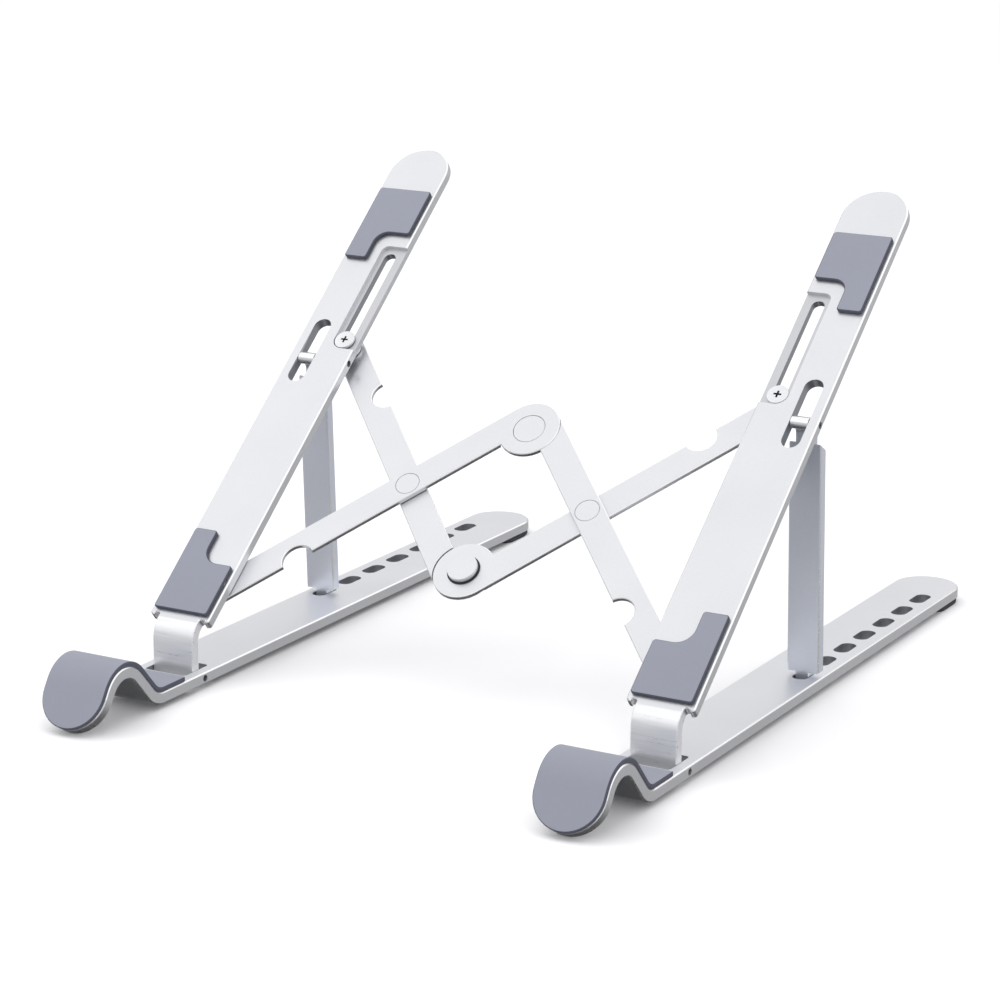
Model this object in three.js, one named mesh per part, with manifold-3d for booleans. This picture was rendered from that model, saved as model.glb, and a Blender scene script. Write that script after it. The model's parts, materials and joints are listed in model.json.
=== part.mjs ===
// Folding aluminium laptop stand: two side frames joined by a scissor of four links.
// Millimetres, +Z up, the laptop's edge rests on the hooks at the front (-Y).
import * as THREE from "three";
import { mergeVertices } from "three/addons/utils/BufferGeometryUtils.js";
import Module from "manifold-3d";

const wasm = await Module();
wasm.setup();

const RAD = Math.PI / 180;

// Strips and clearances
const stripWidth = 22;
const baseThickness = 3.75;
const armThickness = 3.5;
const legThickness = 3.75;
const plateEdge = 0.4; // chamfer on the edges of bars and legs
const gap = 0.3; // between pieces that would touch
const bondGap = 0.05; // between a glued pad and its metal
const runningGap = 0.06; // radial, round a pin or a rivet
const chordError = 0.03; // how far a facet may lie inside its arc

// Base bar: Y is measured from the hinge pin
const baseRearEnd = 214;
const hookStart = 21.5; // where the bar starts to bend up, in front of the pin
const windowHalfWidth = 7.6;
const windowFront = 6.3;
const windowRear = 6.8;
const windowCorner = 1.2;
const holeCount = 7;
const holePitch = 15.7;
const firstHole = 92.5;
const holeWidth = 5.2;
const holeLength = 10.5;
const holeCorner = 2.5;
const legOutset = 4.7; // middle of the holes and of the leg, outward from the strip's middle

// Hook: the bar bends up, over a crest and down to a round tongue that stands on the table
const hookBendRadius = 7;
const hookRise = 48.5;
const hookStraight = 9.6;
const crestRadius = 10.2;
const tongueSlope = 58;
const hookPadThickness = 1.5;
const hookPadRearEnd = 10.5;
const footThickness = 1.7;
const footInset = 0.4; // so that the foot ends where the bar's flat underside does
const footLength = 22;
const footCorner = 3;

// Arm: S is measured along the arm from its lower corners
const armAngle = 39.7;
const armLength = 198.7;
const armStart = 12.5; // from the hinge pin to the lower corners, along the arm
const armRise = 12.3; // from the hinge pin to the arm's top face, square to the arm
const neckWidth = 15;
const neckBendRadius = 6.75;
const neckEdge = 0.3;
const neckNotch = 1;
const hingePinRadius = 1.05;

const legPinS = 106.2;
const legPinRadius = 1.05;
const legSlotStart = 95.3;
const legSlotEnd = 121.8;
const legSlotWidth = 6.2;

const pivotInset = 5.9; // fixed pivot and slider, inward from the strip's middle
const pivotS = 15;
const sliderRestS = 114.6;
const sliderSlotWidth = 4.4;
const recessDepth = 1.2;
const recessTopCorner = 2.5;
const recessTopMargin = 4.6;

const armPadThickness = 1.4;
const armPadInset = 1;
const armPadTabStart = 1.6;
const lowerPad = { plain: 2, step: 21, tab: 33, fillet: 5.5 };
const upperPad = { plain: 179.2, step: 160, tab: 148.3, fillet: 4.5 };

// Prop leg: hooked over its pin, so that it can lie flat under the arm
const legWidth = 10.7;
const legBodyOutset = 0.35; // middle of the leg's body, outward from the middle of its tab
const legShoulder = 6.8;
const legShoulderBevel = 2.4;
const legTabWidth = 4.7;
const legTabDepth = 2;
const legFootClearance = 1.5;
const legSideGap = 0.2;
const legKnuckleRadius = 1.9;

// Scissor
const linkWidth = 10;
const linkThickness = 1.6;
const linkEdge = 0.25;
const linkOuter = 67.8; // crossing rivet to outer pivot
const linkInner = 41.7; // crossing rivet to inner pivot, along the bar
const foldedBarGap = 0.3; // between the two bars when folded side by side
const buttonRadius = 4.85;
const inlayRadius = 5.2;
const jointShaftRadius = 2.5;
const crossHeadRadius = 3.9;
const crossShaftRadius = 2;
const headThickness = 0.65;

// Slider screw and its stack
const screwHeadRadius = 3.5;
const screwHeadThickness = 0.85;
const screwShaftRadius = 1.9;
const crossSlotLength = 3.4;
const crossSlotWidth = 0.7;
const washerRadius = 4;
const nutAcrossFlats = 7;
const nutThickness = 2;

// Derived sizes
const halfStrip = stripWidth / 2;
const hingeZ = baseThickness / 2;
const floorZ = -bondGap - footThickness;
const armBottom = armRise - armThickness;
const pinDepth = armThickness / 2;
const pivotOffset = linkWidth / 2 + foldedBarGap / 2;
const discRadius = pivotOffset + linkWidth / 2;
const spreadAngle = Math.asin((sliderRestS - pivotS) / 2 / linkOuter);
const innerReach = Math.hypot(linkInner, pivotOffset);
const innerTurn = Math.atan2(pivotOffset, linkInner);
const crossingX = innerReach * Math.cos(spreadAngle - innerTurn);
const frameX = crossingX + linkOuter * Math.cos(spreadAngle) + pivotInset;
const crossingS = (pivotS + sliderRestS) / 2;
const sliderTopS = pivotS + 2 * linkOuter;
const upperLinkTop = armBottom - gap;
const upperLinkBottom = upperLinkTop - linkThickness;
const lowerLinkTop = upperLinkBottom - gap;
const lowerLinkBottom = lowerLinkTop - linkThickness;
const lapThickness = (linkThickness - gap) / 2;

const finish = {
  aluminium: { color: 0xd9dbe0, roughness: 0.32, metalness: 0.85 },
  brightSteel: { color: 0xe6e7ea, roughness: 0.25, metalness: 0.9 },
  darkSteel: { color: 0x54565c, roughness: 0.4, metalness: 0.9 },
  silicone: { color: 0x8d909e, roughness: 0.75, metalness: 0 },
  rubber: { color: 0x3d3e43, roughness: 0.85, metalness: 0 },
};

// ---------- outlines ----------

// Points of an arc, in degrees, ends included; turning backwards is allowed.
function arc(x, y, radius, from, to) {
  const step = (2 * Math.acos(1 - chordError / radius)) / RAD;
  const count = Math.max(2, Math.ceil(Math.abs(to - from) / step));
  const points = [];
  for (let i = 0; i <= count; i++) {
    const a = (from + ((to - from) * i) / count) * RAD;
    points.push([x + radius * Math.cos(a), y + radius * Math.sin(a)]);
  }
  return points;
}

function circle(x, y, radius) {
  return arc(x, y, radius, 0, 360).slice(1);
}

function roundedBox(x0, x1, y0, y1, radius) {
  return [
    ...arc(x1 - radius, y0 + radius, radius, -90, 0),
    ...arc(x1 - radius, y1 - radius, radius, 0, 90),
    ...arc(x0 + radius, y1 - radius, radius, 90, 180),
    ...arc(x0 + radius, y0 + radius, radius, 180, 270),
  ];
}

function slot(x, y0, y1, width) {
  const radius = width / 2;
  return [...arc(x, y1 - radius, radius, 0, 180), ...arc(x, y0 + radius, radius, 180, 360)];
}

const mirrored = (points, side) => points.map(([x, y]) => [side * x, y]);

// Outline of a band that follows a path of lines and arcs, between two distances to its left.
function band(start, heading, moves, near, far) {
  let [x, y] = start;
  let angle = heading;
  const stations = [[x, y, angle]];
  for (const { line = 0, radius = 0, turn = 0 } of moves) {
    if (turn) {
      const hand = Math.sign(turn);
      const cx = x - hand * radius * Math.sin(angle * RAD);
      const cy = y + hand * radius * Math.cos(angle * RAD);
      const count = Math.ceil(Math.abs(turn) / 6);
      for (let i = 1; i <= count; i++) {
        const a = angle + (turn * i) / count;
        const px = cx + hand * radius * Math.sin(a * RAD);
        const py = cy - hand * radius * Math.cos(a * RAD);
        stations.push([px, py, a]);
      }
    } else {
      stations.push([x + line * Math.cos(angle * RAD), y + line * Math.sin(angle * RAD), angle]);
    }
    [x, y, angle] = stations.at(-1);
  }
  const offset = (distance) =>
    stations.map(([px, py, a]) => [
      px - distance * Math.sin(a * RAD),
      py + distance * Math.cos(a * RAD),
    ]);
  return { outline: [...offset(near), ...offset(far).reverse()], end: [x, y], heading: angle };
}

// ---------- solids ----------

const toShape = (points) => new THREE.Shape(points.map(([x, y]) => new THREE.Vector2(x, y)));

function solid(geometry) {
  const bare = geometry.clone();
  bare.deleteAttribute("normal");
  bare.deleteAttribute("uv");
  const merged = mergeVertices(bare, 1e-4);
  return new wasm.Manifold(
    new wasm.Mesh({
      numProp: 3,
      vertProperties: new Float32Array(merged.attributes.position.array),
      triVerts: new Uint32Array(merged.index.array),
    }),
  );
}

// A flat plate standing on z, with its outline's own size at mid height and chamfered edges.
function plate(outline, holes, z, thickness, edge) {
  const shape = toShape(outline);
  shape.holes = holes.map(toShape);
  const geometry = new THREE.ExtrudeGeometry(shape, {
    depth: thickness - 2 * edge,
    bevelEnabled: edge > 0,
    bevelThickness: edge,
    bevelSize: edge,
    bevelOffset: -edge,
    bevelSegments: 1,
  });
  return geometry.translate(0, 0, z + edge);
}

// The same, with its outline in the Y-Z plane and its thickness along X, about x.
function sidePlate(outline, x, width, edge) {
  const turn = new THREE.Matrix4().makeBasis(
    new THREE.Vector3(0, 1, 0),
    new THREE.Vector3(0, 0, 1),
    new THREE.Vector3(1, 0, 0),
  );
  return plate(outline, [], -width / 2, width, edge).applyMatrix4(turn).translate(x, 0, 0);
}

function crossRod(radius, length, x, y, z) {
  const segments = Math.ceil(Math.PI / Math.acos(1 - chordError / radius));
  const rod = new THREE.CylinderGeometry(radius, radius, length, segments);
  return rod.rotateZ(-Math.PI / 2).translate(x, y, z);
}

// A turned piece about z, from a list of [radius, z] that starts and ends on the axis.
function turned(profile) {
  const largest = Math.max(...profile.map(([radius]) => radius));
  const segments = Math.ceil(Math.PI / Math.acos(1 - chordError / largest));
  const points = profile.map(([radius, z]) => new THREE.Vector2(radius, z));
  return new THREE.LatheGeometry(points, segments).rotateX(Math.PI / 2);
}

const drum = (radius, bottom, top) =>
  turned([
    [0, bottom],
    [radius, bottom],
    [radius, top],
    [0, top],
  ]);

function join(...geometries) {
  return geometries.map(solid).reduce((sum, next) => sum.add(next));
}

function cut(body, ...geometries) {
  return geometries.map(solid).reduce((rest, tool) => rest.subtract(tool), body);
}

function toGeometry(body) {
  const mesh = body.getMesh();
  const position = new Float32Array(mesh.numVert * 3);
  for (let i = 0; i < mesh.numVert; i++) {
    const from = i * mesh.numProp;
    position.set(mesh.vertProperties.subarray(from, from + 3), i * 3);
  }
  const indexed = new THREE.BufferGeometry();
  indexed.setAttribute("position", new THREE.BufferAttribute(position, 3));
  indexed.setIndex(new THREE.BufferAttribute(new Uint32Array(mesh.triVerts), 1));
  const flat = indexed.toNonIndexed();
  flat.computeVertexNormals();
  return flat;
}

function piece(name, body, look) {
  const geometry = body.isBufferGeometry ? body : toGeometry(body);
  const mesh = new THREE.Mesh(geometry, new THREE.MeshStandardMaterial(finish[look]));
  mesh.name = name;
  return mesh;
}

// ---------- base bar, hook pad, foot, hinge pin ----------

const hookMoves = [
  { line: hookStart - hookPadRearEnd },
  { radius: hookBendRadius, turn: -hookRise },
  { line: hookStraight },
  { radius: crestRadius, turn: hookRise + tongueSlope },
];
const hookTopStart = [-hookPadRearEnd, baseThickness];
const crestEnd = band(hookTopStart, 180, hookMoves, 0, 1).end;
const tipRise = (baseThickness - plateEdge) * Math.cos(tongueSlope * RAD);
const tongueDrop = crestEnd[1] - floorZ - tipRise;
const tongueLength = tongueDrop / Math.sin(tongueSlope * RAD);

// The two solids of a layer of the hook, between two heights above the bar's top face:
// the bent ribbon and its round tongue.
function hookLayer(low, high, edge) {
  const straight = tongueLength - halfStrip;
  const moves = [...hookMoves, { line: straight }];
  const layer = band(hookTopStart, 180, moves, -low, -high);
  const seam = 0.01; // keeps the tongue's faces just inside the ribbon's
  const outline = [
    [-halfStrip, -straight],
    [halfStrip, -straight],
    ...arc(0, 0, halfStrip, 0, 180).slice(0, -1),
    [-halfStrip, 0],
  ];
  const [y, z] = layer.end;
  const heading = layer.heading * RAD;
  const turn = new THREE.Matrix4().makeBasis(
    new THREE.Vector3(-1, 0, 0),
    new THREE.Vector3(0, Math.cos(heading), Math.sin(heading)),
    new THREE.Vector3(0, Math.sin(heading), -Math.cos(heading)),
  );
  const tongue = plate(outline, [], low + seam, high - low - 2 * seam, edge).applyMatrix4(turn);
  return [sidePlate(layer.outline, 0, stripWidth, edge), tongue.translate(0, y, z)];
}

function baseBar(side) {
  const frontEnd = -hookStart + 2 * plateEdge;
  const outline = [
    [-halfStrip, frontEnd],
    [halfStrip, frontEnd],
    ...arc(0, baseRearEnd - halfStrip, halfStrip, 0, 180),
  ];
  const holes = [roundedBox(-windowHalfWidth, windowHalfWidth, -windowFront, windowRear, windowCorner)];
  for (let i = 0; i < holeCount; i++) {
    const y = firstHole + i * holePitch;
    const x = side * legOutset;
    const [w, h] = [holeWidth / 2, holeLength / 2];
    holes.push(roundedBox(x - w, x + w, y - h, y + h, holeCorner));
  }
  const bar = join(
    plate(outline, [], 0, baseThickness, plateEdge),
    ...hookLayer(-baseThickness, 0, plateEdge),
  );
  return cut(
    bar,
    crossRod(hingePinRadius + runningGap, stripWidth + 2, 0, 0, hingeZ),
    ...holes.map((hole) => plate(hole, [], -1, baseThickness + 2, 0)),
  );
}

function hookPad() {
  return join(...hookLayer(bondGap, bondGap + hookPadThickness, neckEdge));
}

function rearFoot() {
  const radius = halfStrip - footInset;
  const rear = baseRearEnd - footInset;
  const front = rear - footLength;
  const outline = [
    ...arc(-radius + footCorner, front + footCorner, footCorner, 180, 270),
    ...arc(radius - footCorner, front + footCorner, footCorner, 270, 360),
    ...arc(0, rear - radius, radius, 0, 180),
  ];
  return plate(outline, [], floorZ, footThickness, neckEdge);
}

// ---------- arm and its pads, in the arm's own frame: hinge pin at the origin, Y along the arm ----------

function arm(side) {
  const corner = 1;
  const notchX = neckWidth / 2 + neckNotch;
  const lowEdge = armStart;
  const outline = [
    ...arc(-halfStrip + corner, lowEdge + corner, corner, 180, 270),
    ...arc(-notchX, lowEdge, neckNotch, 180, 0),
    ...arc(notchX, lowEdge, neckNotch, 180, 0),
    ...arc(halfStrip - corner, lowEdge + corner, corner, 270, 360),
    ...arc(0, armStart + armLength - halfStrip, halfStrip, 0, 180),
  ];
  const slotX = side * legOutset;
  const sliderX = -side * pivotInset;
  const sliderEnd = sliderSlotWidth / 2;
  const holes = [
    slot(slotX, armStart + legSlotStart, armStart + legSlotEnd, legSlotWidth),
    slot(
      sliderX,
      armStart + sliderRestS - sliderEnd,
      armStart + sliderTopS + sliderEnd,
      sliderSlotWidth,
    ),
    circle(sliderX, armStart + pivotS, crossShaftRadius + runningGap),
  ];
  const neckMiddle = armRise - armThickness / 2;
  const neckAngle = 90 - armAngle;
  const tangent = neckBendRadius * Math.tan((neckAngle / 2) * RAD);
  const bendAt = neckMiddle / Math.tan(neckAngle * RAD) + tangent;
  const overlap = 4;
  const neck = band(
    [armStart + overlap, neckMiddle],
    180,
    [
      { line: armStart + overlap - bendAt },
      { radius: neckBendRadius, turn: neckAngle },
      { line: neckMiddle / Math.sin(neckAngle * RAD) - tangent },
    ],
    -armThickness / 2,
    armThickness / 2,
  );
  const body = join(
    plate(outline, [], armBottom, armThickness, plateEdge),
    sidePlate(neck.outline, 0, neckWidth, neckEdge),
    crossRod(armThickness / 2, neckWidth, 0, 0, 0),
  );
  return cut(
    body,
    crossRod(hingePinRadius + runningGap, neckWidth + 2, 0, 0, 0),
    crossRod(legPinRadius + runningGap, stripWidth + 2, 0, armStart + legPinS, armRise - pinDepth),
    plate(sliderRecess(side), [], armRise - recessDepth, recessDepth + 1, 0),
    drum(crossHeadRadius + gap, armRise - headThickness - gap, armRise + 1).translate(
      sliderX,
      armStart + pivotS,
      0,
    ),
    ...holes.map((hole) => plate(hole, [], armBottom - 1, armThickness + 2, 0)),
  );
}

// The sunk track round the slider slot, open to the arm's inner edge.
function sliderRecess(side) {
  const radius = screwHeadRadius + gap;
  const edge = halfStrip + 1;
  const low = armStart + sliderRestS;
  const high = armStart + sliderTopS + recessTopMargin;
  const wall = pivotInset - radius;
  const track = [
    [edge, low - radius],
    ...arc(pivotInset, low, radius, 270, 180),
    ...arc(wall + recessTopCorner, high - recessTopCorner, recessTopCorner, 180, 90),
    [edge, high],
  ];
  return mirrored(track, -side);
}

// A pad with a tab on its outer half; works towards the arm's top or its bottom.
function armPad(side, { plain, step, tab, fillet }) {
  const half = halfStrip - armPadInset;
  const corner = 1;
  const up = Math.sign(tab - plain);
  const y = (s) => up * s;
  const outline = [
    ...arc(-half + corner, y(plain) + corner, corner, 180, 270),
    ...arc(half - corner, y(plain) + corner, corner, 270, 360),
    ...arc(half - corner, y(tab) - corner, corner, 0, 90),
    ...arc(armPadTabStart + corner, y(tab) - corner, corner, 90, 180),
    ...arc(armPadTabStart - fillet, y(step) + fillet, fillet, 0, -90),
    ...arc(-half + corner, y(step) - corner, corner, 90, 180),
  ];
  const placed = outline.map(([x, v]) => [side * x, up * v + armStart]);
  return plate(placed, [], armRise + bondGap, armPadThickness, neckEdge);
}

function crossPin(radius) {
  const end = 0.5; // how far each end lies inside the strip's side face
  return crossRod(radius, stripWidth - 2 * end, 0, 0, 0);
}

// Rivet of the fixed pivot: its head is sunk under the lower pad, its foot closes below the link.
function pivotRivet() {
  const footTop = upperLinkBottom - gap;
  return turned([
    [0, footTop - headThickness],
    [crossHeadRadius, footTop - headThickness],
    [crossHeadRadius, footTop],
    [crossShaftRadius, footTop],
    [crossShaftRadius, armRise - headThickness],
    [crossHeadRadius, armRise - headThickness],
    [crossHeadRadius, armRise],
    [0, armRise],
  ]);
}

// ---------- prop leg, in its own frame: pin at the origin, Y back, Z up ----------

const legPinY = armStart + legPinS;
const legPinZ = armRise - pinDepth;
const armTurn = armAngle * RAD;
const legPinWorldY = legPinY * Math.cos(armTurn) - legPinZ * Math.sin(armTurn);
const legPinWorldZ = hingeZ + legPinY * Math.sin(armTurn) + legPinZ * Math.cos(armTurn);
const legOffset = armThickness / 2 + legThickness / 2 + gap + legSideGap;
const tabBack = firstHole - legPinWorldY;
const tabDown = legPinWorldZ - (baseThickness - legTabDepth);
const legLength = Math.sqrt(tabBack ** 2 + tabDown ** 2 - legOffset ** 2);
const legTilt = Math.atan2(tabBack, tabDown) - Math.atan2(legOffset, legLength);

function propLeg(side) {
  const knuckleWidth = legSlotWidth - 2 * legSideGap;
  const hook = band(
    [0, 0],
    0,
    [{ radius: legOffset, turn: -90 }, { line: legShoulder + legShoulderBevel }],
    -legThickness / 2,
    legThickness / 2,
  );
  const front = legOffset - legThickness / 2;
  const rear = legOffset + legThickness / 2;
  const bodyEnd = -legLength + legTabDepth + legFootClearance;
  const body = [
    [front, bodyEnd],
    [rear, bodyEnd],
    [rear, -legShoulder - legShoulderBevel],
    [front, -legShoulder],
  ];
  const tabCorner = 0.9;
  const tabTop = bodyEnd + 2;
  const tab = [
    ...arc(front + tabCorner, -legLength + tabCorner, tabCorner, 180, 270),
    ...arc(rear - tabCorner, -legLength + tabCorner, tabCorner, 270, 360),
    [rear, tabTop],
    [front, tabTop],
  ];
  const leg = join(
    sidePlate(hook.outline, 0, knuckleWidth, neckEdge),
    crossRod(legKnuckleRadius, knuckleWidth, 0, 0, 0),
    sidePlate(body, side * legBodyOutset, legWidth, plateEdge),
    sidePlate(tab, 0, legTabWidth, neckEdge),
  );
  return cut(leg, crossRod(legPinRadius + runningGap, legWidth + 2, 0, 0, 0));
}

// ---------- scissor, in the arm's frame; each link lies along X from its crossing rivet ----------

// inner is +1 or -1: the side of the bar that faces the other pair of links.
function link(inner, top, lapIsUpper, outerHoleRadius) {
  const half = linkWidth / 2;
  const notch = buttonRadius + gap + 0.1;
  const discStart = Math.asin((pivotOffset - half) / discRadius) / RAD;
  const outline = [
    ...arc(-linkOuter, 0, half, 90, 270),
    ...arc(-linkInner, -pivotOffset, notch, 180 - Math.asin((pivotOffset - half) / notch) / RAD,
      Math.asin((pivotOffset - half) / notch) / RAD),
    ...arc(linkInner, -pivotOffset, discRadius, 180 - discStart, 450),
  ];
  const placed = outline.map(([x, y]) => [x, -inner * y]);
  const bottom = top - linkThickness;
  const crossInlay = crossHeadRadius + gap / 2;
  const isUpper = top === upperLinkTop;
  const jointY = inner * pivotOffset;
  const lapZ = lapIsUpper ? bottom - 1 : bottom + lapThickness;
  const lapCut = drum(discRadius + gap, lapZ, lapZ + 1 + linkThickness - lapThickness);
  const inlayZ = isUpper ? top - headThickness - gap / 2 : bottom - 1;
  const holdsInlay = lapIsUpper === isUpper;
  const jointHole = holdsInlay ? inlayRadius + gap / 2 : jointShaftRadius + runningGap;
  return cut(
    solid(plate(placed, [], bottom, linkThickness, linkEdge)),
    lapCut.translate(linkInner, jointY, 0),
    drum(jointHole, bottom - 1, top + 1).translate(linkInner, jointY, 0),
    drum(crossShaftRadius + runningGap, bottom - 1, top + 1),
    drum(crossInlay, inlayZ, inlayZ + 1 + headThickness + gap / 2),
    drum(outerHoleRadius + runningGap, bottom - 1, top + 1).translate(-linkOuter, 0, 0),
  );
}

// Rivet of an inner joint: an inlaid head flush with its own layer, a button in the other layer.
function jointRivet(inlayOuter, inlayInner, buttonInner, buttonOuter) {
  const profile = [
    [0, inlayOuter],
    [inlayRadius, inlayOuter],
    [inlayRadius, inlayInner],
    [jointShaftRadius, inlayInner],
    [jointShaftRadius, buttonInner],
    [buttonRadius, buttonInner],
    [buttonRadius, buttonOuter - Math.sign(buttonOuter - buttonInner) * linkEdge],
    [buttonRadius - linkEdge, buttonOuter],
    [0, buttonOuter],
  ];
  return turned(inlayOuter < buttonOuter ? profile : profile.reverse());
}

function crossingRivet() {
  return turned([
    [0, lowerLinkBottom],
    [crossHeadRadius, lowerLinkBottom],
    [crossHeadRadius, lowerLinkBottom + headThickness],
    [crossShaftRadius, lowerLinkBottom + headThickness],
    [crossShaftRadius, upperLinkTop - headThickness],
    [crossHeadRadius, upperLinkTop - headThickness],
    [crossHeadRadius, upperLinkTop],
    [0, upperLinkTop],
  ]);
}

function sliderScrew() {
  const headTop = armRise - recessDepth + gap + screwHeadThickness;
  const headBottom = headTop - screwHeadThickness;
  const end = lowerLinkBottom - gap - nutThickness;
  const screw = turned([
    [0, end],
    [screwShaftRadius, end],
    [screwShaftRadius, headBottom],
    [screwHeadRadius, headBottom],
    [screwHeadRadius, headTop - linkEdge],
    [screwHeadRadius - linkEdge, headTop],
    [0, headTop],
  ]);
  const slotDepth = 0.5;
  const bar = (w, h) => new THREE.BoxGeometry(w, h, 2 * slotDepth).translate(0, 0, headTop);
  return cut(
    solid(screw),
    bar(crossSlotLength, crossSlotWidth),
    bar(crossSlotWidth, crossSlotLength),
  );
}

function sliderWasher() {
  const ring = solid(drum(washerRadius, upperLinkBottom, upperLinkTop));
  return cut(ring, drum(screwShaftRadius + runningGap, upperLinkBottom - 1, upperLinkTop + 1));
}

function sliderNut() {
  const top = lowerLinkBottom - gap;
  const corners = nutAcrossFlats / 2 / Math.cos(30 * RAD);
  const outline = [];
  for (let i = 0; i < 6; i++) {
    outline.push([corners * Math.cos(60 * i * RAD), corners * Math.sin(60 * i * RAD)]);
  }
  const hole = circle(0, 0, screwShaftRadius + runningGap);
  return plate(outline, [hole], top - nutThickness, nutThickness, linkEdge);
}

// ---------- assembly ----------

const stand = new THREE.Group();

function group(parent, x, y, z) {
  const made = new THREE.Group();
  made.position.set(x, y, z);
  parent.add(made);
  return made;
}

function at(mesh, x, y, z) {
  mesh.position.set(x, y, z);
  return mesh;
}

const scissor = group(stand, 0, 0, hingeZ);
scissor.rotation.x = armTurn;

for (const [name, side] of [
  ["left", -1],
  ["right", 1],
]) {
  const frame = group(stand, side * frameX, 0, 0);
  frame.add(piece(`${name}_base_bar`, baseBar(side), "aluminium"));
  frame.add(piece(`${name}_hook_pad`, hookPad(), "silicone"));
  frame.add(piece(`${name}_rear_foot`, rearFoot(), "rubber"));
  frame.add(at(piece(`${name}_hinge_pin`, crossPin(hingePinRadius), "darkSteel"), 0, 0, hingeZ));

  const armFrame = group(frame, 0, 0, hingeZ);
  armFrame.rotation.x = armTurn;
  armFrame.add(piece(`${name}_arm`, arm(side), "aluminium"));
  armFrame.add(piece(`${name}_lower_pad`, armPad(side, lowerPad), "silicone"));
  armFrame.add(piece(`${name}_upper_pad`, armPad(side, upperPad), "silicone"));
  armFrame.add(at(piece(`${name}_leg_pin`, crossPin(legPinRadius), "darkSteel"), 0, legPinY, legPinZ));
  const pivotX = -side * pivotInset;
  armFrame.add(
    at(piece(`${name}_pivot_rivet`, pivotRivet(), "brightSteel"), pivotX, armStart + pivotS, 0),
  );

  const leg = piece(`${name}_prop_leg`, propLeg(side), "aluminium");
  at(leg, side * legOutset, legPinWorldY, legPinWorldZ);
  leg.rotation.x = legTilt;
  frame.add(leg);

  // The upper link runs from the fixed pivot to the rear joint, the lower one from the
  // slider to the front joint; on the right-hand frame both are seen in a mirror.
  const crossing = group(scissor, side * crossingX, armStart + crossingS, 0);
  crossing.add(piece(`${name}_crossing_rivet`, crossingRivet(), "brightSteel"));
  const isLeft = side < 0;
  const upper = piece(
    `${name}_upper_link`,
    link(side, upperLinkTop, isLeft, crossShaftRadius),
    "aluminium",
  );
  upper.rotation.z = isLeft ? spreadAngle : Math.PI - spreadAngle;
  const lower = piece(
    `${name}_lower_link`,
    link(-side, lowerLinkTop, !isLeft, screwShaftRadius),
    "aluminium",
  );
  lower.rotation.z = isLeft ? -spreadAngle : Math.PI + spreadAngle;
  crossing.add(upper, lower);

  const sliderX = side * (frameX - pivotInset);
  const slider = group(scissor, sliderX, armStart + sliderRestS, 0);
  slider.add(piece(`${name}_slider_screw`, sliderScrew(), "brightSteel"));
  slider.add(piece(`${name}_slider_washer`, sliderWasher(), "brightSteel"));
  slider.add(piece(`${name}_slider_nut`, sliderNut(), "darkSteel"));
}

const jointStep = innerReach * Math.sin(spreadAngle - innerTurn);
const rearRivet = jointRivet(
  upperLinkTop,
  upperLinkTop - lapThickness,
  lowerLinkTop,
  lowerLinkBottom,
);
const frontRivet = jointRivet(
  lowerLinkBottom,
  lowerLinkBottom + lapThickness,
  upperLinkBottom,
  upperLinkTop,
);
const middleS = armStart + crossingS;
scissor.add(at(piece("rear_joint_rivet", rearRivet, "brightSteel"), 0, middleS + jointStep, 0));
scissor.add(at(piece("front_joint_rivet", frontRivet, "brightSteel"), 0, middleS - jointStep, 0));

// The frame's origin is under the middle of the whole stand, on the table.
const bounds = new THREE.Box3().setFromObject(stand);
const centre = bounds.getCenter(new THREE.Vector3());
stand.position.set(0, -centre.y, -floorZ);

export default stand;
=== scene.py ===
import json
import math

import bmesh
import bpy
from mathutils import Matrix, Vector


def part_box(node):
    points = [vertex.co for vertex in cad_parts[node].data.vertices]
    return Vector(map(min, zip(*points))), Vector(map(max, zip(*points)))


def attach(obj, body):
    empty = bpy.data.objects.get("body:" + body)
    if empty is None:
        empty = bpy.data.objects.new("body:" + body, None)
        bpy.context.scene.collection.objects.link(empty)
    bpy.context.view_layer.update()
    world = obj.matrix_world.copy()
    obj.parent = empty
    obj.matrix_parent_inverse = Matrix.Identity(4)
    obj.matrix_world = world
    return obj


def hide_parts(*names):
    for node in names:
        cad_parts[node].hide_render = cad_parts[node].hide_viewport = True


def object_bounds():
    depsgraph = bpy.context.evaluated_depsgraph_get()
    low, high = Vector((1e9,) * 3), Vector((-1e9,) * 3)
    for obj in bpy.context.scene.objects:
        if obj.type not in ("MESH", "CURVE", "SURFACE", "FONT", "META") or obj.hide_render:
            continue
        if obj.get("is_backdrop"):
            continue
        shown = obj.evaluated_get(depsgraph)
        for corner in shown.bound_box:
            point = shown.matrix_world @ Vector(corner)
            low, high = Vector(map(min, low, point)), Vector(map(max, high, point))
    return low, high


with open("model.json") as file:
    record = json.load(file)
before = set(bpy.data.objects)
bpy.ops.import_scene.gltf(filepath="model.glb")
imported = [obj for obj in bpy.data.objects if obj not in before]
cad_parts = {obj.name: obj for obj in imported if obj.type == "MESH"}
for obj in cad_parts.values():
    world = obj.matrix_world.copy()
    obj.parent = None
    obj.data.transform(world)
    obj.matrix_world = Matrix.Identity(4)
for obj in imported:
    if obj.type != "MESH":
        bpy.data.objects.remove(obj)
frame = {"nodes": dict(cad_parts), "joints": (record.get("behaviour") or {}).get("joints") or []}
cad_low, cad_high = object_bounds()
scene = bpy.context.scene
MM = 0.001


# ---------- Camera, floor and light ----------
# A long lens looks down at the stand from the front right. The stand is on a matt white
# floor, under two soft boxes, in a studio that is bright above and dark below.

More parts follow.
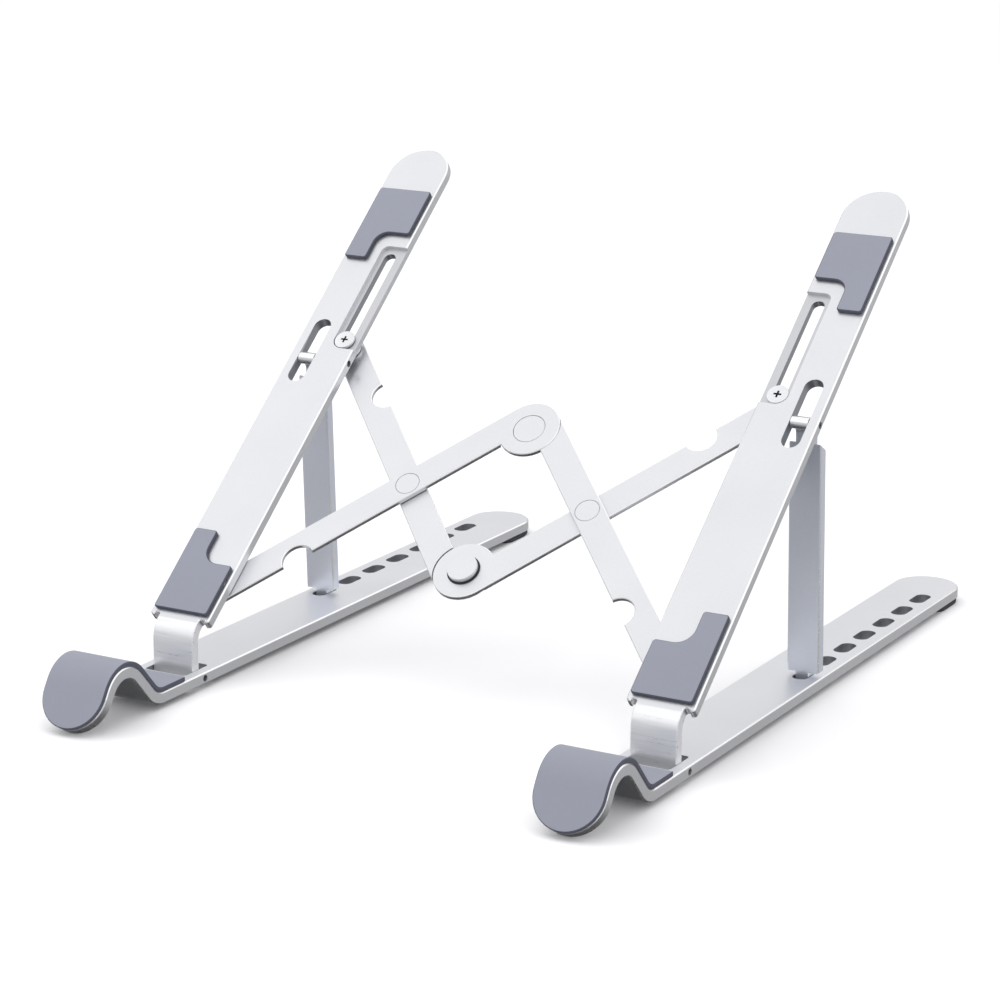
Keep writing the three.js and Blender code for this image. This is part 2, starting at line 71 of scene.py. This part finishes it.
camera = bpy.data.objects.new("camera", bpy.data.cameras.new("camera"))
scene.collection.objects.link(camera)
scene.camera = camera
camera.data.sensor_width = 36
camera.data.lens = 111.64
camera.data.clip_end = 30
azimuth, elevation, roll = map(math.radians, (29.689, 15.011, 0.211))
camera.location = (0.4608, -0.8296, 0.30735)
camera.rotation_euler = (
    Matrix.Rotation(azimuth, 3, "Z")
    @ Matrix.Rotation(math.pi / 2 - elevation, 3, "X")
    @ Matrix.Rotation(roll, 3, "Z")
).to_euler()


def srgb(code):
    """A hex colour, as a shader wants it."""
    parts = [int(code[i : i + 2], 16) / 255 for i in (1, 3, 5)]
    linear = [p / 12.92 if p <= 0.04045 else ((p + 0.055) / 1.055) ** 2.4 for p in parts]
    return (*linear, 1)


def add(tree, kind, settings=None, links=None):
    """A node with its settings, on its sockets or on itself, and what is linked into it."""
    node = tree.nodes.new(kind)
    for key, value in (settings or {}).items():
        if isinstance(key, str) and hasattr(node, key):
            setattr(node, key, value)
        else:
            node.inputs[key].default_value = value
    for key, socket in (links or {}).items():
        tree.links.new(socket, node.inputs[key])
    return node


scene.view_settings.view_transform = "Standard"

world = bpy.data.worlds.new("studio")
scene.world = world
world.use_nodes = True
wall = world.node_tree
wall.nodes.clear()
direction = add(wall, "ShaderNodeTexCoord")
height = add(wall, "ShaderNodeSeparateXYZ", links={0: direction.outputs["Generated"]})
level = add(
    wall,
    "ShaderNodeMapRange",
    {"From Min": -1, "From Max": 1},
    {"Value": height.outputs["Z"]},
)
shade = add(wall, "ShaderNodeValToRGB", links={0: level.outputs["Result"]})
shade.color_ramp.elements.remove(shade.color_ramp.elements[1])
# Each stop is a height, from straight down to straight up, and how bright the studio is.
cool_tint = 1.008
for place, grey in [
    (0, 0.015), (0.14, 0.03), (0.27, 0.25), (0.37, 0.50), (0.5, 0.55), (0.62, 0.56),
    (0.72, 1.1), (0.82, 1.2), (0.92, 1.02), (1, 1.0),
]:
    stop = shade.color_ramp.elements.new(place)
    stop.color = (grey, grey, grey * cool_tint, 1)
shade.color_ramp.elements.remove(shade.color_ramp.elements[0])
glow = add(wall, "ShaderNodeBackground", {"Strength": 1.0}, {"Color": shade.outputs["Color"]})
add(wall, "ShaderNodeOutputWorld", links={"Surface": glow.outputs[0]})

for name, place, size, watts in [
    ("soft_box_above", (-0.25, -0.1, 1.3), 1.4, 4.5),
    ("soft_box_left", (-1.3, -0.9, 0.9), 1.0, 3.5),
]:
    light = bpy.data.objects.new(name, bpy.data.lights.new(name, "AREA"))
    scene.collection.objects.link(light)
    light.data.size = size
    light.data.energy = watts
    light.location = place
    light.visible_glossy = False
    light.rotation_euler = Vector(place).to_track_quat("Z", "Y").to_euler()

floor_mesh = bpy.data.meshes.new("floor")
floor_reach = 8000 * MM
floor_mesh.from_pydata(
    [(x * floor_reach, y * floor_reach, 0) for x, y in ((-1, -1), (1, -1), (1, 1), (-1, 1))],
    [],
    [(0, 1, 2, 3)],
)
floor = bpy.data.objects.new("floor", floor_mesh)
scene.collection.objects.link(floor)
paint = bpy.data.materials.new("matt_white_floor_paint")
paint.use_nodes = True
floor_shader = paint.node_tree.nodes["Principled BSDF"]
floor_shader.inputs["Base Color"].default_value = srgb("#FBFBFC")
floor_shader.inputs["Roughness"].default_value = 0.9
floor_shader.inputs["Specular IOR Level"].default_value = 0.1
floor_mesh.materials.append(paint)
floor.visible_glossy = False
floor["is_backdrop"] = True


# ---------- Base bars ----------
# Each side stands on a flat strip of aluminium, stamped with a window and seven holes and
# bent into a hook at the front. It is bead blasted and anodised, which gives a fine satin
# grain; the cut edges are broken by a small chamfer, coloured lighter than the faces as a
# painted highlight.

def grain_material(
    name, colour, metallic, roughness, grain_mm, depth, streaks=None, tones=(0.955, 1.03)
):
    """A blasted or moulded finish: a fine grain, and slow changes of tone and gloss."""
    broad_mm, broad_share = 28, 0.45
    noise_range = {"From Min": 0.3, "From Max": 0.7}
    material = bpy.data.materials.new(name)
    material.use_nodes = True
    tree = material.node_tree
    shader = tree.nodes["Principled BSDF"]
    shader.inputs["Metallic"].default_value = metallic
    place = add(tree, "ShaderNodeTexCoord").outputs["Object"]
    if streaks:
        place = add(
            tree, "ShaderNodeMapping", {"Scale": streaks}, {"Vector": place}
        ).outputs["Vector"]
    fine = add(
        tree,
        "ShaderNodeTexNoise",
        {"Scale": 1 / (grain_mm * MM), "Detail": 3, "Roughness": 0.6},
        {"Vector": place},
    )
    broad = add(
        tree, "ShaderNodeTexNoise", {"Scale": 1 / (broad_mm * MM), "Detail": 2}, {"Vector": place}
    )
    both = add(
        tree,
        "ShaderNodeMix",
        {"Factor": broad_share},
        {"A": fine.outputs["Fac"], "B": broad.outputs["Fac"]},
    )
    tone = add(
        tree,
        "ShaderNodeMapRange",
        {**noise_range, "To Min": tones[0], "To Max": tones[1]},
        {"Value": both.outputs["Result"]},
    )
    tinted = add(
        tree,
        "ShaderNodeVectorMath",
        {"operation": "SCALE", 0: srgb(colour)[:3]},
        {"Scale": tone.outputs["Result"]},
    )
    gloss = add(
        tree,
        "ShaderNodeMapRange",
        {**noise_range, "To Min": roughness - 0.04, "To Max": roughness + 0.05},
        {"Value": both.outputs["Result"]},
    )
    relief = add(
        tree,
        "ShaderNodeBump",
        {"Strength": 0.6, "Distance": depth * MM},
        {"Height": fine.outputs["Fac"]},
    )
    tree.links.new(tinted.outputs["Vector"], shader.inputs["Base Color"])
    tree.links.new(gloss.outputs["Result"], shader.inputs["Roughness"])
    tree.links.new(relief.outputs["Normal"], shader.inputs["Normal"])
    return material


# The blasting grit leaves dents of about 0.1 mm, drawn here at 0.5 mm so that they show.
satin = grain_material("bead_blasted_anodised_aluminium", "#E6E7EA", 0.9, 0.36, 0.5, 0.004)
# Chamfers and rounded edges get a lighter colour than the faces: a painted highlight. Their lower
# roughness is the finish's own.
painted_highlight_edge = grain_material("edge_aluminium_painted_highlight", "#FAFAFB", 0.9, 0.24, 0.4, 0.001)
# The walls of stamped holes and slots are rougher than the faces, and painted darker as painted
# shade inside the holes.
painted_shade_wall = grain_material("hole_wall_painted_shade", "#B0B2B7", 0.85, 0.4, 0.6, 0.008)


# Vertices of a CAD solid that are closer than this are one vertex.
weld = 0.002 * MM


def merged_copy(node):
    """The CAD solid's faces as one closed mesh, with its flat faces whole."""
    shell = bmesh.new()
    shell.from_mesh(frame["nodes"][node].data)
    bmesh.ops.remove_doubles(shell, verts=shell.verts, dist=weld)
    bmesh.ops.dissolve_limit(
        shell, angle_limit=math.radians(0.5), verts=shell.verts, edges=shell.edges
    )
    return shell


def finished(name, shell, materials, body, nodes, edge_mm=0.12, edge_slot=-1):
    """Shades the curves smooth, rounds the sharp edges and hands the piece to the frame.

    The rounding is clamped so that it can't overlap itself, and can come out smaller than
    asked. On the bars, arms, legs and hook pads, which have some very short edges, it comes
    out at a few thousandths of a millimetre, so the chamfers seen there are the CAD's.
    """
    for face in shell.faces:
        face.smooth = True
    sharp_from = math.radians(24)
    sharp = [
        e for e in shell.edges if len(e.link_faces) == 2 and e.calc_face_angle() > sharp_from
    ]
    if edge_mm:
        bmesh.ops.bevel(
            shell,
            geom=sharp,
            offset=edge_mm * MM,
            offset_type="OFFSET",
            segments=2,
            profile=0.5,
            affect="EDGES",
            material=edge_slot,
            clamp_overlap=True,
        )
    else:
        for edge in sharp:
            edge.smooth = False
    mesh = bpy.data.meshes.new(name)
    shell.to_mesh(mesh)
    shell.free()
    for material in materials:
        mesh.materials.append(material)
    made = bpy.data.objects.new(name, mesh)
    scene.collection.objects.link(made)
    weighted = made.modifiers.new("weighted_normals", "WEIGHTED_NORMAL")
    weighted.weight = 90
    weighted.keep_sharp = True
    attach(made, body)
    if nodes:
        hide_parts(*nodes)
    return made


strip_width, rim = 22 * MM, 1 * MM
inner_half = strip_width / 2 - rim


def is_chamfer(face, plate_normal):
    """True for the 45 degree faces along a plate's edges."""
    return 0.6 < abs(face.normal.dot(plate_normal)) < 0.8


for side in ("left", "right"):
    bar = merged_copy(f"{side}_base_bar")
    low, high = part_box(f"{side}_base_bar")
    middle_x = (low[0] + high[0]) / 2
    window_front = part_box(f"{side}_hook_pad")[1][1]
    last_hole_end = high[1] - 12 * MM
    for face in bar.faces:
        centre = face.calc_center_median()
        if centre.y > window_front:
            inside = abs(centre.x - middle_x) < inner_half
            # Chamfers take the lighter edge colour, a painted highlight.
            if is_chamfer(face, Vector((0, 0, 1))):
                face.material_index = 1
            # Hole walls are painted darker: painted shade.
            elif inside and abs(face.normal.z) < 0.3 and centre.y < last_hole_end:
                face.material_index = 2
        # The hook's side chamfers take the same painted highlight.
        elif 0.6 < abs(face.normal.x) < 0.8:
            face.material_index = 1
    finished(
        f"{side}_bar",
        bar,
        [satin, painted_highlight_edge, painted_shade_wall],
        f"{side}_base_frame",
        [f"{side}_base_bar"],
        edge_slot=1,
    )


# ---------- Arms ----------
# The same strip, stamped with slots and bent down at its lower end into a narrow neck that
# turns on the hinge pin. The neck was brushed before it was anodised, which leaves fine
# lines across its width.

brushed = grain_material(
    "brushed_anodised_aluminium", "#F6F7FA", 0.62, 0.3, 9, 0, (1, 22, 22), (0.88, 1.05)
)
# The track round the long slot is milled after blasting, so its floor is a little darker.
milled = grain_material("milled_anodised_aluminium", "#CFD0D3", 0.85, 0.42, 0.5, 0.004)
arm_top_mm, recess_mm = 12.3, 1.2
neck_end, slots_start, slots_end = 12.5 * MM, 20 * MM, 195 * MM
hinge = next(j for j in frame["joints"] if j["name"] == "arm_lift")
hinge_y, hinge_z = hinge["pos_m"][1:]
tilt = math.radians(39.7)
arm_normal = Vector((0, -math.sin(tilt), math.cos(tilt)))

for side in ("left", "right"):
    arm = merged_copy(f"{side}_arm")
    low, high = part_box(f"{side}_arm")
    middle_x = (low[0] + high[0]) / 2
    for face in arm.faces:
        centre = face.calc_center_median()
        along = (centre.y - hinge_y) * math.cos(tilt) + (centre.z - hinge_z) * math.sin(tilt)
        inside = abs(centre.x - middle_x) < inner_half
        if along < neck_end:
            face.material_index = 2
        # Chamfers take the lighter edge colour, a painted highlight.
        elif is_chamfer(face, arm_normal):
            face.material_index = 1
        elif inside and slots_start < along < slots_end:
            rise = (centre - Vector((centre.x, hinge_y, hinge_z))).dot(arm_normal) / MM
            on_floor = abs(rise - (arm_top_mm - recess_mm)) < 0.1
            facing = face.normal.dot(arm_normal)
            # Slot walls are painted darker: painted shade.
            if abs(facing) < 0.3 and rise < arm_top_mm - recess_mm - 0.1:
                face.material_index = 3
            elif facing > 0.95 and on_floor:
                face.material_index = 4
    finished(
        f"{side}_support_arm",
        arm,
        [satin, painted_highlight_edge, brushed, painted_shade_wall, milled],
        f"{side}_arm_frame",
        [f"{side}_arm"],
    )


# ---------- Prop legs ----------
# A leg is a thick aluminium bar with a hooked neck over its pin and a narrow tab at the
# foot, which drops into one of the holes of the base bar.

leg_satin = grain_material("bead_blasted_leg_aluminium", "#F0F4FF", 0.88, 0.38, 0.5, 0.004)
knuckle_reach = 2.6 * MM

for side in ("left", "right"):
    leg = merged_copy(f"{side}_prop_leg")
    pin_low, pin_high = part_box(f"{side}_leg_pin")
    pin = (Vector(pin_low) + Vector(pin_high)) / 2
    for face in leg.faces:
        from_pin = face.calc_center_median() - pin
        # The knuckle round the pin takes the lighter edge colour as a painted highlight.
        on_knuckle = math.hypot(from_pin.y, from_pin.z) < knuckle_reach
        if is_chamfer(face, Vector((1, 0, 0))) or on_knuckle:
            face.material_index = 1
    finished(
        f"{side}_leg",
        leg,
        [leg_satin, painted_highlight_edge],
        f"{side}_leg_frame",
        [f"{side}_prop_leg"],
        edge_slot=1,
    )


# ---------- Scissor links ----------
# Four stamped links of thinner strip. Where two meet at a round end, each is milled down
# to half its thickness, so that the joint is no thicker than one link.

for side in ("left", "right"):
    for layer in ("upper", "lower"):
        link = merged_copy(f"{side}_{layer}_link")
        for face in link.faces:
            # Chamfers take the lighter edge colour, a painted highlight.
            if is_chamfer(face, arm_normal):
                face.material_index = 1
        finished(
            f"{side}_{layer}_scissor_link",
            link,
            [satin, painted_highlight_edge],
            f"{side}_{layer}_link_frame",
            [f"{side}_{layer}_link"],
            edge_mm=0.08,
            edge_slot=1,
        )


# ---------- Silicone pads ----------
# Soft blue-grey silicone, moulded with a matt skin and glued to the hooks and the arms so
# that the laptop can't slide. The sides, with their chamfers, are painted darker than the
# skin as painted shade.
tongue_tilt = math.radians(58)
tongue_normal = Vector((0, -math.sin(tongue_tilt), math.cos(tongue_tilt)))

skin = grain_material("moulded_silicone_skin", "#8D909C", 0, 0.62, 0.6, 0.006)
skin.node_tree.nodes["Principled BSDF"].inputs["Sheen Weight"].default_value = 0.08
# The pads' sides are painted darker than the skin: painted shade.
painted_shade_side = grain_material("silicone_side_painted_shade", "#4B4E5B", 0, 0.7, 0.5, 0.008)

for side in ("left", "right"):
    for part in ("lower_pad", "upper_pad"):
        pad = merged_copy(f"{side}_{part}")
        for face in pad.faces:
            # Sides and chamfers take the painted shade.
            if abs(face.normal.dot(arm_normal)) < 0.85:
                face.material_index = 1
        finished(
            f"{side}_{part}_skin",
            pad,
            [skin, painted_shade_side],
            f"{side}_arm_frame",
            [f"{side}_{part}"],
            edge_mm=0.1,
        )
    pad = merged_copy(f"{side}_hook_pad")
    tongue_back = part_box(f"{side}_hook_pad")[0][1] + 14 * MM
    for face in pad.faces:
        on_tongue = face.calc_center_median().y < tongue_back
        # Sides and chamfers take the painted shade.
        if abs(face.normal.x) > 0.5 or on_tongue and abs(face.normal.dot(tongue_normal)) < 0.78:
            face.material_index = 1
    finished(
        f"{side}_hook_pad_skin",
        pad,
        [skin, painted_shade_side],
        f"{side}_base_frame",
        [f"{side}_hook_pad"],
        edge_mm=0.1,
    )


# ---------- Rear feet ----------
# A dark moulded rubber pad is glued under the rear end of each bar, flush with its edges,
# and keeps the stand from sliding.

rubber = grain_material("moulded_black_rubber", "#38383C", 0, 0.75, 0.7, 0.015)
for side in ("left", "right"):
    finished(
        f"{side}_rubber_foot",
        merged_copy(f"{side}_rear_foot"),
        [rubber],
        f"{side}_base_frame",
        [f"{side}_rear_foot"],
    )


# ---------- Rivets, screws and pins ----------
# Turned pieces: rivets pressed flush into the links, raised buttons on the two inner joints,
# and plain pins. The pivots are plated, the pins are painted dark as painted shade for the
# holes they sit in, and the rest match the links.

plated = grain_material("nickel_plated_steel", "#EEEFF1", 0.95, 0.22, 0.5, 0.001)
# Dark steel: the nuts' own colour, and on the pins painted shade for the holes they sit in.
dark_steel_and_pin_shade = grain_material("dark_steel_and_pin_hole_shade", "#4A4B50", 0.9, 0.4, 0.5, 0.003)


def turned_tree(name, stations):
    """Geometry nodes that turn a profile of that many stations, one piece on each point."""
    axis_radius, seam = 0.001 * MM, 0.005 * MM
    tree = bpy.data.node_groups.new(name, "GeometryNodeTree")
    face = tree.interface
    face.new_socket("Places", in_out="INPUT", socket_type="NodeSocketGeometry")
    face.new_socket("Tilt", in_out="INPUT", socket_type="NodeSocketVector")
    face.new_socket("Edge", in_out="INPUT", socket_type="NodeSocketFloat")
    face.new_socket("Sides", in_out="INPUT", socket_type="NodeSocketInt")
    face.new_socket("Finish", in_out="INPUT", socket_type="NodeSocketMaterial")
    for i in range(stations):
        face.new_socket(f"Radius {i}", in_out="INPUT", socket_type="NodeSocketFloat")
        face.new_socket(f"Height {i}", in_out="INPUT", socket_type="NodeSocketFloat")
    face.new_socket("Pieces", in_out="OUTPUT", socket_type="NodeSocketGeometry")
    given = add(tree, "NodeGroupInput").outputs
    pick = add(tree, "GeometryNodeIndexSwitch", {"data_type": "VECTOR"})
    while len(pick.index_switch_items) < stations:
        pick.index_switch_items.new()
    tree.links.new(add(tree, "GeometryNodeInputIndex").outputs[0], pick.inputs["Index"])
    for i in range(stations):
        down = add(
            tree, "ShaderNodeMath", {"operation": "MULTIPLY", 1: -1}, {0: given[f"Height {i}"]}
        )
        spot = add(
            tree, "ShaderNodeCombineXYZ", links={"X": given[f"Radius {i}"], "Y": down.outputs[0]}
        )
        tree.links.new(spot.outputs[0], pick.inputs[i + 1])
    points = add(
        tree, "GeometryNodePoints", {"Count": stations}, {"Position": pick.outputs[0]}
    )
    profile = add(tree, "GeometryNodePointsToCurves", links={"Points": points.outputs[0]})
    rounded = add(
        tree,
        "GeometryNodeFilletCurve",
        {"mode": "POLY", "Count": 3, "Limit Radius": True},
        {"Curve": profile.outputs[0], "Radius": given["Edge"]},
    )
    axis = add(
        tree,
        "GeometryNodeCurvePrimitiveCircle",
        {"Radius": axis_radius},
        {"Resolution": given["Sides"]},
    )
    turned = add(
        tree,
        "GeometryNodeCurveToMesh",
        links={"Curve": axis.outputs[0], "Profile Curve": rounded.outputs[0]},
    )
    closed = add(
        tree,
        "GeometryNodeMergeByDistance",
        {"Distance": seam},
        {"Geometry": turned.outputs[0]},
    )
    turn = add(tree, "FunctionNodeEulerToRotation", links={0: given["Tilt"]})
    placed = add(
        tree,
        "GeometryNodeInstanceOnPoints",
        links={
            "Points": given["Places"],
            "Instance": closed.outputs[0],
            "Rotation": turn.outputs[0],
        },
    )
    real = add(tree, "GeometryNodeRealizeInstances", links={0: placed.outputs[0]})
    coated = add(
        tree,
        "GeometryNodeSetMaterial",
        links={"Geometry": real.outputs[0], "Material": given["Finish"]},
    )
    add(tree, "NodeGroupOutput", links={"Pieces": coated.outputs[0]})
    return tree


def stem(node, axis):
    """The lower end of a CAD piece on its own axis, and the piece's length in mm."""
    solid = bmesh.new()
    solid.from_mesh(frame["nodes"][node].data)
    bmesh.ops.remove_doubles(solid, verts=solid.verts, dist=weld)
    middle = sum((v.co for v in solid.verts), Vector()) / len(solid.verts)
    heights = [(v.co - middle).dot(axis) for v in solid.verts]
    solid.free()
    return middle + axis * min(heights), (max(heights) - min(heights)) / MM


def turned_piece(name, profile_mm, finish, foot, axis, edge_mm=0.08, sides=72):
    """Turns a profile, in mm up from the foot, about the axis."""
    place = bpy.data.meshes.new(name)
    place.from_pydata([foot], [], [])
    carrier = bpy.data.objects.new(name, place)
    scene.collection.objects.link(carrier)
    tree = turned_tree(f"turned_{name}", len(profile_mm))
    values = {
        "Tilt": Vector((0, 0, 1)).rotation_difference(axis).to_euler(),
        "Edge": edge_mm * MM,
        "Sides": sides,
        "Finish": finish,
    }
    for i, (radius, up) in enumerate(profile_mm):
        values[f"Radius {i}"] = radius * MM
        values[f"Height {i}"] = up * MM
    modifier = carrier.modifiers.new("turned", "NODES")
    modifier.node_group = tree
    for item in tree.interface.items_tree:
        if item.in_out == "INPUT" and item.name in values:
            modifier[item.identifier] = values[item.name]
    graph = bpy.context.evaluated_depsgraph_get()
    result = bpy.data.meshes.new_from_object(carrier.evaluated_get(graph))
    bpy.data.objects.remove(carrier)
    shell = bmesh.new()
    shell.from_mesh(result)
    bpy.data.meshes.remove(result)
    bmesh.ops.recalc_face_normals(shell, faces=shell.faces)
    return shell


link_mm, gap_mm, lap_mm = 1.6, 0.3, 0.65
rivet_head, rivet_shaft, pin_radius = 3.9, 2.0, 1.05


def rivet_profile(length):
    """A shaft with a thin flat head at each end, in mm."""
    head, shaft = rivet_head, rivet_shaft
    return [
        (0, 0), (head, 0), (head, lap_mm), (shaft, lap_mm),
        (shaft, length - lap_mm), (head, length - lap_mm), (head, length), (0, length),
    ]


for side in ("left", "right"):
    foot, length = stem(f"{side}_pivot_rivet", arm_normal)
    shell = turned_piece(f"{side}_pivot", rivet_profile(length), plated, foot, arm_normal)
    finished(
        f"{side}_fixed_pivot", shell, [plated], f"{side}_arm_frame",
        [f"{side}_pivot_rivet"], edge_mm=0,
    )
    foot, length = stem(f"{side}_crossing_rivet", arm_normal)
    shell = turned_piece(f"{side}_cross", rivet_profile(length), satin, foot, arm_normal)
    finished(
        f"{side}_flush_rivet", shell, [satin], f"{side}_upper_link_frame",
        [f"{side}_crossing_rivet"], edge_mm=0,
    )
    for pin, body in (("hinge_pin", "base_frame"), ("leg_pin", "arm_frame")):
        across = Vector((1, 0, 0))
        foot, length = stem(f"{side}_{pin}", across)
        profile = [(0, 0), (pin_radius, 0), (pin_radius, length), (0, length)]
        shell = turned_piece(
            f"{side}_{pin}_turned", profile, dark_steel_and_pin_shade, foot, across, edge_mm=0.2, sides=40
        )
        finished(
            f"{side}_{pin}_rod", shell, [dark_steel_and_pin_shade], f"{side}_{body}",
            [f"{side}_{pin}"], edge_mm=0,
        )

# The inner joints: one end is a thin head pressed into the milled lap, and the other is a
# round button as thick as a link.
inlay, button, shaft = 5.2, 4.85, 2.5
for name, node, body, inlay_up in [
    ("rear_button_rivet", "rear_joint_rivet", "left_upper_link_frame", True),
    ("front_button_rivet", "front_joint_rivet", "left_lower_link_frame", False),
]:
    foot, length = stem(node, arm_normal)
    profile = [
        (0, 0), (inlay, 0), (inlay, lap_mm), (shaft, lap_mm),
        (shaft, length - link_mm), (button, length - link_mm), (button, length), (0, length),
    ]
    if inlay_up:
        profile = [(radius, length - up) for radius, up in reversed(profile)]
    shell = turned_piece(name, profile, satin, foot, arm_normal, edge_mm=0.15, sides=96)
    finished(name, shell, [satin], body, [node], edge_mm=0)

# A thin black ring lies under the front button as painted shade round its base; it is not a real
# part.
shade_ring_black = grain_material("painted_shade_ring_black", "#26272B", 0, 0.55, 0.6, 0.003)
shade_ring_radius, shade_ring_thick, play = 5.35, 0.2, 0.05
foot, length = stem("front_joint_rivet", arm_normal)
rise = length - link_mm - gap_mm
profile = [(0, 0), (shade_ring_radius, 0), (shade_ring_radius, shade_ring_thick), (0, shade_ring_thick)]
shell = turned_piece(
    "front_shade_ring_turned", profile, shade_ring_black, foot + arm_normal * (rise + play) * MM, arm_normal,
    edge_mm=0.05, sides=96,
)
finished(
    "front_painted_shade_ring", shell, [shade_ring_black], "left_lower_link_frame", [],
    edge_mm=0,
)


# ---------- Slider screws, washers and nuts ----------
# Each lower link hangs from a plated flat-topped screw that slides in the arm's long slot,
# with a washer under the arm and a nut below the link. The cross recess is pressed in, and
# its faces are painted near-black as painted shade.

# Near-black for the faces of the cross recess: painted shade.
recess_painted_shade = grain_material("cross_recess_painted_shade", "#0E0F11", 0, 0.8, 0.5, 0.003)


def cross_punch(at, axis, reach, half, depth):
    """A plus-shaped punch in line with the arm, a little narrower at its tip, sizes in mm."""
    clear_above = 0.5
    rings_at = ((0.8, -depth), (1, 0), (1.06, clear_above))
    turn = Vector((0, 0, 1)).rotation_difference(axis).to_matrix()
    outline = []
    for quarter in range(4):
        spin = Matrix.Rotation(quarter * math.pi / 2, 3, "Z")
        outline += [spin @ Vector(p) for p in ((half, half, 0), (half, reach, 0), (-half, reach, 0))]
    punch = bmesh.new()
    rings = []
    for scale, up in rings_at:
        ring = [
            punch.verts.new(at + turn @ Vector((p.x * scale, p.y * scale, up)) * MM)
            for p in outline
        ]
        rings.append(ring)
    corners = len(outline)
    for below, above in zip(rings, rings[1:]):
        for i in range(corners):
            after = (i + 1) % corners
            punch.faces.new((below[i], below[after], above[after], above[i]))
    punch.faces.new(rings[0])
    punch.faces.new(rings[-1])
    bmesh.ops.recalc_face_normals(punch, faces=punch.faces)
    # The punch's faces carry the painted shade into the recess.
    for face in punch.faces:
        face.material_index = 1
    mesh = bpy.data.meshes.new("punch")
    for metal in (plated, recess_painted_shade):
        mesh.materials.append(metal)
    punch.to_mesh(mesh)
    punch.free()
    made = bpy.data.objects.new("punch", mesh)
    scene.collection.objects.link(made)
    return made


head, head_thick, thread = 3.5, 0.85, 1.9
cross_reach, cross_half, cross_depth = 1.3, 0.34, 0.5

for side in ("left", "right"):
    foot, length = stem(f"{side}_slider_screw", arm_normal)
    under = length - head_thick
    profile = [(0, 0), (thread, 0), (thread, under), (head, under), (head, length), (0, length)]
    shell = turned_piece(f"{side}_pan_head", profile, plated, foot, arm_normal, edge_mm=0.22)
    mesh = bpy.data.meshes.new("blank")
    shell.to_mesh(mesh)
    shell.free()
    for metal in (plated, recess_painted_shade):
        mesh.materials.append(metal)
    blank = bpy.data.objects.new("blank", mesh)
    scene.collection.objects.link(blank)
    top = foot + arm_normal * length * MM
    punch = cross_punch(top, arm_normal, cross_reach, cross_half, cross_depth)
    cut = blank.modifiers.new("recess", "BOOLEAN")
    cut.object = punch
    cut.solver = "EXACT"
    graph = bpy.context.evaluated_depsgraph_get()
    pressed = bpy.data.meshes.new_from_object(blank.evaluated_get(graph))
    shell = bmesh.new()
    shell.from_mesh(pressed)
    for scrap in (blank, punch):
        bpy.data.objects.remove(scrap)
    finished(
        f"{side}_pan_head_screw", shell, [plated, recess_painted_shade], f"{side}_lower_link_frame",
        [f"{side}_slider_screw"], edge_mm=0,
    )
    for part, name, slot, metal in [
        ("slider_washer", "plain_washer", "steel", plated),
        ("slider_nut", "hex_nut", "dark_steel", dark_steel_and_pin_shade),
    ]:
        finished(
            f"{side}_{name}", merged_copy(f"{side}_{part}"), [metal],
            f"{side}_lower_link_frame", [f"{side}_{part}"],
        )


# ---------- Size ----------
# The box of the CAD solids as loaded, and the box of the finished pieces.

visual_low, visual_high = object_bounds()
size = {
    "cad": [list(cad_low), list(cad_high)],
    "visual": [list(visual_low), list(visual_high)],
}
